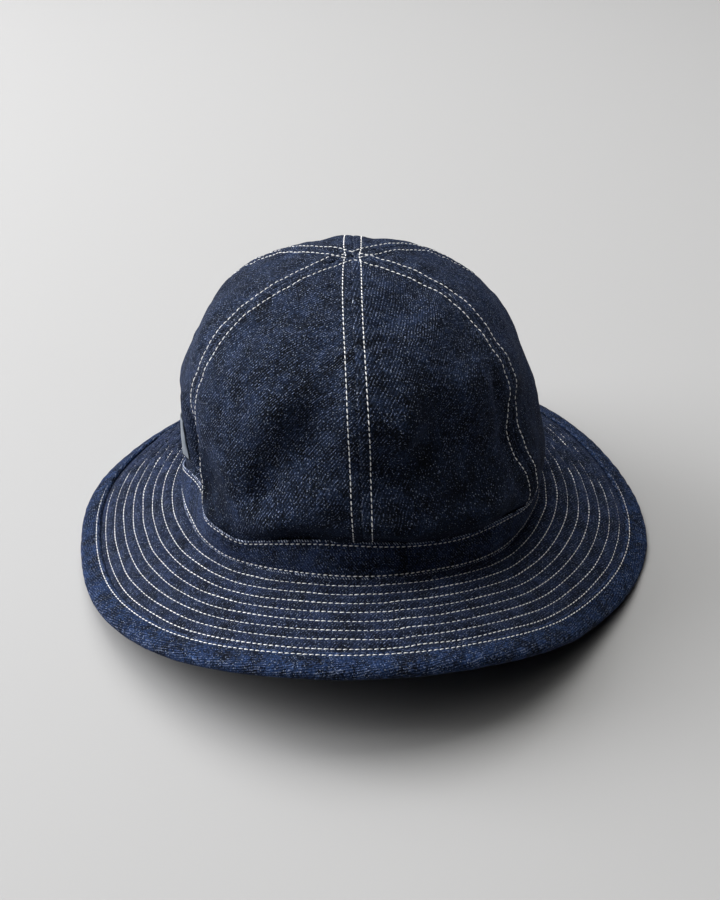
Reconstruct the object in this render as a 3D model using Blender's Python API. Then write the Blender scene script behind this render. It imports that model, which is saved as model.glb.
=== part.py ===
"""A denim army hat standing on its brim.

It has six crown panels, a band, a quilted brim with a folded hem, and a small label on one side.

The crown's axis is +Z and the hat's front faces -Y. Angles are counted from +X, counterclockwise from above.
The whole hat is centred on the origin, with the floor at Z = 0.
"""

import bpy
import bmesh
import numpy as np

# Driving dimensions, in metres and degrees.
OVAL_HALF_WIDTH = 0.088  # outside of the band, across the head
OVAL_HALF_LENGTH = 0.103  # outside of the band, front to back
OVAL_TURN = -10.0  # the soft band is pulled askew by this much
HAT_HEIGHT = 0.1545  # floor to the top of the crown
BAND_HEIGHT = 0.019
BAND_LIFT = 0.034  # floor to the band's lower edge, on average
BRIM_WIDTH = 0.063  # band to edge, along the cloth
FRONT_LIFT = 0.040  # floor to the brim's edge at the front
REST_HEIGHT = 0.0014  # the same where the brim lies on the floor
BRIM_TURN = 7.0  # how far the brim bends down between band and edge
BRIM_TURN_SIDES = 9.0  # how much more it bends at the sides than at front and back
HEM_WIDTH = 0.0125
HEM_TUCK = 0.0032  # how far the brim's plies stop short of the hem's edge
CROWN_WALL = 0.0016
BAND_WALL = 0.0020
BRIM_WALL = 0.0018
HEM_PLY = 0.0009
HEM_ROLL = 0.0010  # corner radius of the hem's rolled edge
GAP = 0.0003  # between pieces that are sewn together
SEAM_GAP = 0.0005  # round each crown panel, whose walls lean towards its neighbours on the inside
TIP_RADIUS = 0.0016  # where the crown panels' points stop, at the top
LABEL_WIDTH = 0.030
LABEL_HEIGHT = 0.021
LABEL_WALL = 0.0008
LABEL_GAP = 0.0009  # the label bridges the crown's small hollows
LABEL_ANGLE = 190.0  # where the label sits round the crown
LABEL_LIFT = 4.0  # crown angle of the label's lower edge
FOLD_FOOT = 3.0  # crown angle below which every fold dies out, so that the band holds the foot

# The brim round the oval, front at 270 degrees. Columns: angle, lower edge of the band as a share of
# BAND_LIFT, height of the brim's edge as a share of FRONT_LIFT, and width as a share of BRIM_WIDTH.
BRIM_ROWS = (
    (0, 0.82, 0.00, 1.05),
    (30, 0.77, 0.03, 1.01),
    (60, 0.80, 0.03, 1.02),
    (90, 0.96, 0.03, 1.00),
    (120, 1.05, 0.03, 1.01),
    (150, 1.07, 0.03, 0.98),
    (180, 0.89, 0.00, 1.02),
    (210, 1.00, 0.12, 0.98),
    (240, 1.13, 0.56, 0.965),
    (270, 1.33, 1.00, 1.01),
    (300, 1.24, 0.87, 0.975),
    (330, 0.94, 0.28, 0.935),
)

# The crown's fullness, as shares of a round dome over the oval. First column: angle up the dome, 0 at the
# band and 90 at the top. The others go round it from the right: right, back right, back, back left, left,
# front left, front and front right.
CROWN_ROWS = (
    (0, 1.00, 1.00, 1.00, 1.00, 1.00, 1.00, 1.00, 1.00),
    (12, 1.055, 1.03, 1.025, 1.01, 0.995, 1.00, 1.03, 1.075),
    (25, 1.06, 1.06, 1.06, 1.06, 1.075, 1.055, 1.065, 1.06),
    (38, 1.11, 1.075, 1.085, 1.10, 1.10, 1.145, 1.195, 1.20),
    (50, 1.18, 1.115, 1.08, 1.125, 1.19, 1.23, 1.27, 1.27),
    (62, 1.255, 1.115, 1.015, 1.08, 1.225, 1.30, 1.325, 1.35),
    (75, 1.31, 1.21, 1.145, 1.20, 1.28, 1.34, 1.36, 1.375),
    (90, 1.355, 1.355, 1.355, 1.355, 1.355, 1.355, 1.355, 1.355),
)
CROWN_LEAN = (-0.034, -0.002)  # how far the top leans right and back, as shares of OVAL_HALF_LENGTH

# The crown panels, each between the angles of its two seams. Left and right are as seen from the front.
PANELS = (
    ("crown_panel_side_right", -32, 32),
    ("crown_panel_back_right", 32, 90),
    ("crown_panel_back_left", 90, 148),
    ("crown_panel_side_left", 148, 212),
    ("crown_panel_front_left", 212, 271),
    ("crown_panel_front_right", 271, 328),
)

# Dents and swells in the crown. Columns: angle round, angle up, half spread round, half spread up, and
# depth as a share of OVAL_HALF_WIDTH, positive outwards.
CROWN_FOLDS = (
    (209, 9, 6, 14, -0.085),
    (199, 3, 14, 6.5, -0.085),
    (222, 6, 7, 9, 0.050),
    (198, 14, 6, 8, 0.020),
    (322, 17, 5, 9, -0.040),
    (334, 14, 6, 10, 0.030),
)

ROUND = 72  # stations round the brim and band
BAND_ROWS = 4
BRIM_ROWS_OUT = 7  # rows from the band to the brim's edge
UP = 15  # rows up a crown panel
CROWDING = 1.6  # how far a panel's rows crowd towards the band, 1 for not at all
ACROSS = 11  # columns across a crown panel
LABEL_ROWS = 5
LABEL_COLUMNS = 7


def between_rows(values, place):
    """A smooth closed curve through equally spaced values (Catmull-Rom), read at place, a share of a turn."""
    count = values.shape[-1]
    place = np.mod(place, 1.0) * count
    index = np.floor(place).astype(int)
    part = place - index
    before, here, after, later = (
        np.take_along_axis(values, (index + step)[..., None] % count, -1)[..., 0] for step in (-1, 0, 1, 2)
    )
    bend = 2 * before - 5 * here + 4 * after - later
    twist = 3 * (here - after) + later - before
    return here + part / 2 * (after - before + part * (bend + part * twist))


def brim_column(column, turn):
    """One column of BRIM_ROWS, read at an angle in degrees."""
    values = np.array([row[column] for row in BRIM_ROWS])
    return between_rows(np.broadcast_to(values, turn.shape + values.shape), turn / 360)


def band_foot(turn):
    """Height of the band's lower edge."""
    return BAND_LIFT * brim_column(1, turn)


def turned(x, y, degrees):
    """x and y turned about the axis."""
    angle = np.radians(degrees)
    return x * np.cos(angle) - y * np.sin(angle), x * np.sin(angle) + y * np.cos(angle)


def brim_point(turn, share, above):
    """A point of the brim, at a share of its width from the band and a distance above its upper face.

    The cut through the brim is an arc of the brim's width. Its chord falls from the band's foot to the edge.
    A share below 0 is on the margin that lies flat under the band.
    """
    width = BRIM_WIDTH * brim_column(3, turn)
    edge = np.maximum(FRONT_LIFT * brim_column(2, turn), REST_HEIGHT)
    bend = np.radians(BRIM_TURN + BRIM_TURN_SIDES * np.cos(2 * np.radians(turn)))
    chord = width * np.sinc(bend / 2 / np.pi)
    fall = np.arcsin((band_foot(turn) - edge) / chord)
    margin = width * np.minimum(share, 0)
    share = np.maximum(share, 0)
    reach = width * share * np.sinc(bend * share / 2 / np.pi)
    slope = fall - bend / 2 + bend * share / 2
    normal = fall - bend / 2 + bend * share
    out = margin + reach * np.cos(slope) + above * np.sin(normal)
    height = band_foot(turn) - reach * np.sin(slope) + above * np.cos(normal)
    return on_oval(turn, out, height)


def on_oval(turn, out, height):
    """A point at a distance outside the oval and at a height."""
    cos, sin = np.cos(np.radians(turn)), np.sin(np.radians(turn))
    away_x, away_y = OVAL_HALF_LENGTH * cos, OVAL_HALF_WIDTH * sin
    length = np.hypot(away_x, away_y)
    x = OVAL_HALF_WIDTH * cos + out * away_x / length
    y = OVAL_HALF_LENGTH * sin + out * away_y / length
    x, y = turned(x, y, OVAL_TURN)
    return np.stack([x, y, height + 0 * x], -1)


def crown_radius(around, up):
    """Distance of the crown's outer face from its axis, at an angle round it and an angle up the dome."""
    around, up = np.broadcast_arrays(np.asarray(around, float), np.asarray(up, float))
    rows = np.array(CROWN_ROWS)
    fullness = natural_spline(rows[:, 0], rows[:, 1:], up)
    own = np.radians(around - OVAL_TURN)
    oval = 1 / np.hypot(np.cos(own) / OVAL_HALF_WIDTH, np.sin(own) / OVAL_HALF_LENGTH)
    radius = oval * between_rows(fullness, around / 360) * np.cos(np.radians(up))
    held = OVAL_HALF_WIDTH * (1 - np.exp(-((up / FOLD_FOOT) ** 4)))
    for fold_around, fold_up, wide, high, depth in CROWN_FOLDS:
        off = (np.mod(around - fold_around + 180, 360) - 180) / wide
        radius = radius + depth * held * np.exp(-(off**2) - ((up - fold_up) / high) ** 2)
    return radius


def crown_point(around, up):
    """A point of the crown's outer face, whose axis leans as it rises."""
    radius = crown_radius(around, up)
    own = np.radians(around - OVAL_TURN)
    turn = np.degrees(np.arctan2(np.sin(own) / OVAL_HALF_LENGTH, np.cos(own) / OVAL_HALF_WIDTH))
    rise = np.sin(np.radians(up))
    foot = band_foot(turn) + BAND_HEIGHT + SEAM_GAP
    x = radius * np.cos(np.radians(around)) + CROWN_LEAN[0] * OVAL_HALF_LENGTH * rise
    y = radius * np.sin(np.radians(around)) + CROWN_LEAN[1] * OVAL_HALF_LENGTH * rise
    return np.stack([x, y, foot * (1 - rise) + HAT_HEIGHT * rise], -1)


def natural_spline(knots, columns, place):
    """Each column as a natural cubic spline over the knots, read at place."""
    steps = np.diff(knots)
    slopes = np.diff(columns, axis=0) / steps[:, None]
    system = np.eye(len(knots))
    right = np.zeros_like(columns)
    for i in range(1, len(knots) - 1):
        system[i, i - 1 : i + 2] = steps[i - 1], 2 * (steps[i - 1] + steps[i]), steps[i]
        right[i] = 6 * (slopes[i] - slopes[i - 1])
    bends = np.linalg.solve(system, right)
    index = np.clip(np.searchsorted(knots, place, side="right") - 1, 0, len(steps) - 1)
    step = steps[index][..., None]
    high = (place - knots[index])[..., None] / step
    low = 1 - high
    curve = (low**3 - low) * bends[index] + (high**3 - high) * bends[index + 1]
    return low * columns[index] + high * columns[index + 1] + curve * step**2 / 6


def cloth_material(name, colour, roughness):
    """Plain cloth of one colour."""
    material = bpy.data.materials.new(name)
    material.use_nodes = True
    shader = material.node_tree.nodes["Principled BSDF"]
    shader.inputs["Base Color"].default_value = (*colour, 1)
    shader.inputs["Roughness"].default_value = roughness
    shader.inputs["Metallic"].default_value = 0
    return material


def make_object(name, grid, material, round_it, closed_section=False, wall=0.0):
    """An object from a grid of points, facing to the left of its rows as seen along its columns from inside.

    round_it joins the last row to the first, closed_section does it with the columns, and a wall gives a
    single sheet its thickness on its inner side.
    """
    rows, columns = grid.shape[:2]
    shape = bmesh.new()
    corners = [[shape.verts.new(point) for point in row] for row in grid.tolist()]
    for i in range(rows if round_it else rows - 1):
        for j in range(columns if closed_section else columns - 1):
            row, next_row = corners[i], corners[(i + 1) % rows]
            beside = (j + 1) % columns
            shape.faces.new((row[j], row[beside], next_row[beside], next_row[j]))
    mesh = bpy.data.meshes.new(name)
    shape.to_mesh(mesh)
    shape.free()
    mesh.shade_smooth()
    mesh.materials.append(material)
    piece = bpy.data.objects.new(name, mesh)
    bpy.context.scene.collection.objects.link(piece)
    if wall:
        solidify = piece.modifiers.new("Wall", "SOLIDIFY")
        solidify.thickness = wall
        solidify.offset = -1
        solidify.use_even_offset = True
    return piece


def crown_panel(name, start, end, material):
    """One crown panel: a gore from the band to its point at the top."""
    tip = np.degrees(np.arccos(TIP_RADIUS / (OVAL_HALF_WIDTH * CROWN_ROWS[-1][1])))
    up = tip * np.linspace(0, 1, UP)[:, None] ** CROWDING
    first = start + np.degrees(SEAM_GAP / 2 / crown_radius(start, up))
    last = end - np.degrees(SEAM_GAP / 2 / crown_radius(end, up))
    around = first + (last - first) * np.linspace(0, 1, ACROSS)[None]
    return make_object(name, crown_point(around, up), material, False, wall=CROWN_WALL)


def hat_band(material):
    """The band: a strip on edge round the oval, over the brim's inner edge."""
    turn = np.linspace(0, 360, ROUND, endpoint=False)[:, None]
    level = np.linspace(1, 0, BAND_ROWS)[None]
    height = band_foot(turn) + GAP + (BAND_HEIGHT - GAP) * level
    return make_object("hat_band", on_oval(turn, 0 * level, height), material, True, wall=BAND_WALL)


def brim(material):
    """The brim: a wall that starts under the band and ends inside the hem."""
    turn = np.linspace(0, 360, ROUND, endpoint=False)[:, None]
    margin = -BAND_WALL / BRIM_WIDTH
    end = 1 - HEM_TUCK / BRIM_WIDTH
    share = np.append(margin, np.linspace(0, end, BRIM_ROWS_OUT))[None]
    return make_object("brim", brim_point(turn, share, 0), material, True, wall=BRIM_WALL)


def brim_binding(material):
    """The hem: a strip folded over the brim's edge, flattened where it lies on the floor."""
    turn = np.linspace(0, 360, ROUND, endpoint=False)[:, None]
    top = GAP + HEM_PLY
    bottom = -BRIM_WALL - GAP - HEM_PLY
    inner = 1 - HEM_WIDTH / BRIM_WIDTH
    middle = 1 - HEM_WIDTH / 2 / BRIM_WIDTH
    rolled = 1 - HEM_ROLL / BRIM_WIDTH
    pocket = 1 - (HEM_TUCK - GAP) / BRIM_WIDTH
    # Each row of the cut: share of the brim's width, distance above its upper face, and the least height.
    cut = (
        (inner, top, 0),
        (middle, top, 0),
        (rolled, top, 0),
        (1, top - HEM_ROLL, 0),
        (1, bottom + HEM_ROLL, 0),
        (rolled, bottom, 0),
        (middle, bottom, 0),
        (inner, bottom, 0),
        (inner, -BRIM_WALL - GAP, HEM_PLY / 2),
        (pocket, -BRIM_WALL - GAP, HEM_PLY / 2),
        (pocket, GAP, 0),
        (inner, GAP, 0),
    )
    share, above, least = (np.array(column)[None] for column in zip(*cut))
    points = brim_point(turn, share, above)
    points[..., 2] = np.maximum(points[..., 2], least)
    return make_object("brim_binding", points, material, True, closed_section=True)


def side_label(material):
    """The label: a small rectangle of tape lying on the crown."""
    low = crown_point(LABEL_ANGLE, LABEL_LIFT)
    radius = np.hypot(low[0], low[1])
    half = np.degrees(LABEL_WIDTH / 2 / radius)
    rise = HAT_HEIGHT - BAND_LIFT - BAND_HEIGHT
    top = np.degrees(np.arcsin(np.sin(np.radians(LABEL_LIFT)) + LABEL_HEIGHT / rise))
    around = LABEL_ANGLE + half * np.linspace(-1, 1, LABEL_COLUMNS)[None]
    up = np.linspace(LABEL_LIFT, top, LABEL_ROWS)[:, None]
    away = np.stack([np.cos(np.radians(around)), np.sin(np.radians(around)), 0 * around], -1)
    sheet = crown_point(around, up) + away * (LABEL_GAP + LABEL_WALL)
    return make_object("side_label", sheet, material, False, wall=LABEL_WALL)


def centre_on_floor(pieces):
    """Moves every point so that the hat's box is centred on the origin."""
    corners = np.array([vertex.co for piece in pieces for vertex in piece.data.vertices])
    middle = (corners.min(0) + corners.max(0)) / 2
    for piece in pieces:
        for vertex in piece.data.vertices:
            vertex.co.x -= middle[0]
            vertex.co.y -= middle[1]


for thing in list(bpy.data.objects):
    bpy.data.objects.remove(thing)

denim = cloth_material("raw_denim", (0.022, 0.030, 0.062), 0.9)
denim_light = cloth_material("raw_denim_folded", (0.035, 0.055, 0.115), 0.9)
tape = cloth_material("woven_tape", (0.30, 0.34, 0.40), 0.8)

parts = [crown_panel(name, start, end, denim) for name, start, end in PANELS]
parts += [hat_band(denim), brim(denim), brim_binding(denim_light), side_label(tape)]
centre_on_floor(parts)
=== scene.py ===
"""The looks of a denim army hat: raw indigo denim, quilted and topstitched with ivory thread.

Angles are in degrees round the crown's axis, counterclockwise from +X seen from above. The front is at 270.
Lengths are in metres, or in millimetres where a comment says so.
"""

import functools

import bpy
import numpy as np
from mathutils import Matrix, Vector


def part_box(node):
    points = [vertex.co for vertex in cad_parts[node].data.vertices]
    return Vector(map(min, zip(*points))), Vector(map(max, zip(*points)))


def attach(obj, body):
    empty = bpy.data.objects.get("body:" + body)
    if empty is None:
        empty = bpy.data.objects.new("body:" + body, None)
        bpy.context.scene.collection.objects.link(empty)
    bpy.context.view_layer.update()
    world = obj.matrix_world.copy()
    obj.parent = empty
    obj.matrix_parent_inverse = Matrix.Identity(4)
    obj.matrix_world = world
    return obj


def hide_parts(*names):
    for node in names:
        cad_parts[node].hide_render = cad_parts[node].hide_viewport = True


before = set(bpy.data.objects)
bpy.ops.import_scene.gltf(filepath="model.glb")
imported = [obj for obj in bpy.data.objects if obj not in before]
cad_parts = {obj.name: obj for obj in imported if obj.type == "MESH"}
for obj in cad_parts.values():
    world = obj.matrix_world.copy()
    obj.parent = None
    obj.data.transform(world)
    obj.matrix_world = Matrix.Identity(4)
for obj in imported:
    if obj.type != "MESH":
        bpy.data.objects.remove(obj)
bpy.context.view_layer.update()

# The brim: plies of raw denim cut as a flat ring and quilted with eight rows of lockstitch, sewn to the
# crown's foot. It droops on to the floor at the sides and the back, and lifts at the front.
OVAL_HALF_WIDTH = 0.088  # the head's oval, which the crown's foot follows
OVAL_HALF_LENGTH = 0.103
OVAL_TURN = -10.0
BAND_LIFT = 0.034  # height of the band's lower edge
BRIM_WIDTH = 0.063
FRONT_LIFT = 0.040  # height of the brim's edge at the front
REST_HEIGHT = 0.0014  # and where it lies on the floor
BRIM_TURN = 7.0  # how far the brim bends down from foot to edge
BRIM_TURN_SIDES = 9.0  # how much more it does at the sides, and less at the front and the back
BRIM_WALL = 0.0018
# Columns: angle, lower edge of the band as a share of BAND_LIFT, height of the brim's edge as a share of
# FRONT_LIFT, and width as a share of BRIM_WIDTH.
BRIM_ROWS = (
    (0, 0.82, 0, 1.05),
    (30, 0.77, 0.03, 1.01),
    (60, 0.8, 0.03, 1.02),
    (90, 0.96, 0.03, 1),
    (120, 1.05, 0.03, 1.01),
    (150, 1.07, 0.03, 0.98),
    (180, 0.89, 0, 1.02),
    (210, 1, 0.12, 0.98),
    (240, 1.13, 0.56, 0.965),
    (270, 1.33, 1, 1.01),
    (300, 1.24, 0.87, 0.975),
    (330, 0.94, 0.28, 0.935),
)
ROW_FIRST = 0.00714  # band's foot to the first stitch row, along the cloth
ROW_PITCH = 0.00565
ROW_COUNT = 8
ROW_WANDER = 0.00022  # how far a stitch row strays from its line
BRIM_STITCH = 0.0027  # stitch length, hole to hole
HEM_START = 0.0125  # width of the hem over the brim's edge
PUFF = 0.00082  # how far the plies rise between two rows
PUFF_POWER = 0.62  # of the half sine between two rows, which makes it broad on top
PUFF_BACK = 0.8  # share by which the plies rise more at the back
PUFF_UNDER = 0.7  # how far the underside puffs, as a share of the upper face
PUFF_VARIES = (0.30, 0.10)  # share by which a puff varies, and how much that differs between channels
PUFF_ENDS = (0.002, 0.0012)  # widths over which the puffs die out, at the band's foot and at the hem
SWELL = 0.3  # long swells round the brim, as a share of PUFF
BACK_STEP = (-0.03, 0.22)  # sine of the angle where front turns to back, and the step's half spread
CREASE = (287, 0.8, 9, 0.0005)  # a small step across the rows: angle, half spread, half reach, height
BRIM_STATIONS = 640
MARGIN_SHARE = -0.03  # how far the plies reach in under the band, as a share of the brim's width
BRIM_STOP = 0.0036  # the plies stop this far short of the hem's fold
# Grid columns, in millimetres from the band's foot and from each stitch row, where they crowd.
FOOT_COLUMNS = (0.0, 1.2, 2.6, 4.2)
ROW_COLUMNS = (-1.75, -0.95, -0.45, -0.2, 0.0, 0.2, 0.45, 0.95, 1.75, 2.83)
HEM_COLUMN = 0.87  # a last one under the hem, as a share of the brim's width
UNDER_COLUMNS = 30


def between_rows(values, place):
    """A Catmull-Rom curve through values equally spaced round a turn, read at place, a share of it."""
    count = values.shape[-1]
    values = np.broadcast_to(values, place.shape + (count,))
    place = np.mod(place, 1.0) * count
    index = np.floor(place).astype(int)
    part = place - index
    before, here, after, later = (
        np.take_along_axis(values, (index + step)[..., None] % count, -1)[..., 0] for step in (-1, 0, 1, 2)
    )
    bend = 2 * before - 5 * here + 4 * after - later
    twist = 3 * (here - after) + later - before
    return here + part / 2 * (after - before + part * (bend + part * twist))


def brim_column(column, turn):
    """One column of BRIM_ROWS, read at an angle."""
    return between_rows(np.array(BRIM_ROWS)[:, column], turn / 360)


def band_foot(turn):
    """Height of the band's lower edge."""
    return BAND_LIFT * brim_column(1, turn)


def on_oval(turn, out, height):
    """A point at a distance outside the head's oval, along the oval's own normal, and at a height."""
    cos, sin = np.cos(np.radians(turn)), np.sin(np.radians(turn))
    away_x, away_y = OVAL_HALF_LENGTH * cos, OVAL_HALF_WIDTH * sin
    length = np.hypot(away_x, away_y)
    x = OVAL_HALF_WIDTH * cos + out * away_x / length
    y = OVAL_HALF_LENGTH * sin + out * away_y / length
    turned = np.radians(OVAL_TURN)
    around_x = x * np.cos(turned) - y * np.sin(turned)
    around_y = x * np.sin(turned) + y * np.cos(turned)
    return np.stack(np.broadcast_arrays(around_x, around_y, height), -1)


def brim_arc(turn, share, above):
    """Distance out from the oval, and height, of a point at a share of the brim's width.

    The cut through the upper face is an arc as long as the brim is wide, and above is square to it. Its
    chord falls from the band's foot to the edge. A share below 0 is on the margin, flat under the band.
    """
    width = BRIM_WIDTH * brim_column(3, turn)
    edge = np.maximum(FRONT_LIFT * brim_column(2, turn), REST_HEIGHT)
    bend = np.radians(BRIM_TURN + BRIM_TURN_SIDES * np.cos(2 * np.radians(turn)))
    chord = width * np.sinc(bend / 2 / np.pi)
    fall = np.arcsin((band_foot(turn) - edge) / chord)
    margin = width * np.minimum(share, 0)
    share = np.maximum(share, 0)
    reach = width * share * np.sinc(bend * share / 2 / np.pi)
    slope = fall - bend / 2 + bend * share / 2
    normal = fall - bend / 2 + bend * share
    out = margin + reach * np.cos(slope) + above * np.sin(normal)
    return out, band_foot(turn) - reach * np.sin(slope) + above * np.cos(normal)


def brim_point(turn, share, above):
    """A point of the brim in the hat's place, with nothing below the floor."""
    out, height = brim_arc(turn, share, above)
    return on_oval(turn, out, np.maximum(height, 0)) + axis_place


axis_place = np.zeros(3)
outline = brim_point(np.arange(0, 360, 0.5), 1.0, 0.0)
hem_low, hem_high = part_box("brim_binding")
axis_place[:2] = (np.array(hem_low + hem_high) - outline.min(0) - outline.max(0))[:2] / 2


def round_waves(turn, lowest, highest, seed):
    """An uneven height that closes round the hat: whole-numbered sine waves with seeded phases."""
    draw = np.random.default_rng(seed)
    counts = np.arange(lowest, highest)
    size = draw.uniform(0.4, 1.0, len(counts))
    phase = draw.uniform(0, 2 * np.pi, len(counts))
    angle = np.radians(turn)[..., None]
    return (size * np.sin(counts * angle + phase)).sum(-1) / np.sqrt((size**2).sum() / 2) / 2


def bell(distance, power=2):
    """A bell curve: e to minus the distance to an even power. More power gives a flatter top."""
    return np.exp(-(distance**power))


def toward_back(turn):
    """From 0 at the front of the hat to 1 at its back, in a smooth step at each side."""
    lies, spread = BACK_STEP
    return (1 + np.tanh((np.sin(np.radians(turn)) - lies) / spread)) / 2


def quilting(turn, share):
    """Lift of the brim's face: half a sine between stitch rows, uneven round the hat."""
    row = np.clip((share * BRIM_WIDTH - ROW_FIRST) / ROW_PITCH, -1, ROW_COUNT - 1)
    puff = np.abs(np.sin(np.pi * row)) ** PUFF_POWER * (1 + PUFF_BACK * toward_back(turn))
    channel = np.floor(row)
    varies = PUFF_VARIES[0] + PUFF_VARIES[1] * np.cos(channel * 2.4)
    drift = varies * round_waves(turn + 17 * channel, 30, 70, 5)
    swell = SWELL * round_waves(turn + 9 * share, 5, 16, 8)
    crease_turn, spread, reach, height = CREASE
    step = np.tanh((turn - crease_turn - 4 * share) / spread) - 1
    crease = height * step * bell((turn - crease_turn) / reach) * np.sqrt(np.abs(share))
    kept = np.clip(share * BRIM_WIDTH / PUFF_ENDS[0], 0, 1)
    kept = kept * np.clip((BRIM_WIDTH * (1 - share) - HEM_START) / PUFF_ENDS[1], 0, 1)
    return kept * (PUFF * (puff * (1 + drift) + swell) + crease)


def brim_face(turn, share, side=1):
    """The brim's upper face, or its underside where side is -1."""
    lift = quilting(turn, share)
    return brim_point(turn, share, lift if side > 0 else -BRIM_WALL - PUFF_UNDER * lift)


def plan_of(turn, share):
    """Where the cloth lay before it was shaped: the brim laid out as a flat ring, in metres."""
    return on_oval(turn, share * BRIM_WIDTH, 0)[..., :2]


def add_object(name, data):
    """An object in the scene that shows data."""
    made = bpy.data.objects.new(name, data)
    bpy.context.scene.collection.objects.link(made)
    return made


def add_piece(name, points, faces, laid, material):
    """An object of points and faces. laid, the cloth's own lengths at every face corner, is its UV map."""
    mesh = bpy.data.meshes.new(name)
    mesh.from_pydata(points.reshape(-1, 3), [], faces)
    mesh.uv_layers.new(name="cloth").data.foreach_set("uv", laid.reshape(-1))
    mesh.shade_smooth()
    mesh.materials.append(material)
    piece = add_object(name, mesh)
    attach(piece, "root")
    return piece


def make_piece(name, points, cloth, worn, material, closed=False):
    """A surface from a grid of points[row, column], with the cloth's own lengths as its UV map.

    closed joins the last row and column to the first, and cloth then has one more of each than points. worn
    is how far each point's dye is rubbed away, plainly at 1; below 0 it is painted shade, darker than
    anywhere else.
    """
    rows, columns = points.shape[:2]
    ends = 0 if closed else 1
    i, j = np.meshgrid(np.arange(rows - ends), np.arange(columns - ends), indexing="ij")
    corners = ((i, j), (i, j + 1), (i + 1, j + 1), (i + 1, j))
    faces = np.stack([a % rows * columns + b % columns for a, b in corners], -1).reshape(-1, 4)
    piece = add_piece(name, points, faces, np.stack([cloth[a, b] for a, b in corners], -2), material)
    rubbed = piece.data.attributes.new("worn", "FLOAT", "POINT")
    rubbed.data.foreach_set("value", np.broadcast_to(worn, (rows, columns)).reshape(-1).astype(float))
    return piece


def linear(code):
    """The linear colour of an sRGB hex code."""
    srgb = np.array([int(code[i : i + 2], 16) for i in (0, 2, 4)]) / 255
    return (*np.where(srgb <= 0.04045, srgb / 12.92, ((srgb + 0.055) / 1.055) ** 2.4), 1.0)


def add_node(tree, kind, inputs=None, **settings):
    """Adds a node. Settings are its properties. An input is a value, a socket, or a node's first output."""
    node = tree.nodes.new(kind)
    for setting, value in settings.items():
        setattr(node, setting, value)
    for socket, value in (inputs or {}).items():
        if isinstance(value, bpy.types.Node):
            value = next(output for output in value.outputs if output.enabled)
        if isinstance(value, bpy.types.NodeSocket):
            tree.links.new(value, node.inputs[socket])
        else:
            node.inputs[socket].default_value = value
    return node


def bare_material(name):
    """A material with an empty node tree, and the function that adds a node to it."""
    material = bpy.data.materials.new(name)
    material.use_nodes = True
    material.node_tree.nodes.clear()
    return material, functools.partial(add_node, material.node_tree)


END_PITCH = 0.00036  # one warp yarn to the next, as in a 14 ounce denim
PICK_PITCH = 0.00050  # one weft yarn to the next
TWILL = 4  # the weft shows over one warp yarn in four
SWAY = (0.009, 0.0012)  # length and depth of the waves in which the yarns run
GRAIN = 0.00085  # single yarns are too fine to show, so their unevenness is drawn over two or three of them
SLUB = (0.0009, 0.010)  # width and length of the streaks that uneven warp yarns give
CRINKLE = 0.0030  # the creases that dyeing and one wash leave in the cloth
CLOUD = 0.011  # patches where the dye took more or less
LINT = 0.0019  # loops of loose fibre lying on the face
FLECK = 0.0014  # bits of undyed cotton


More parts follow.
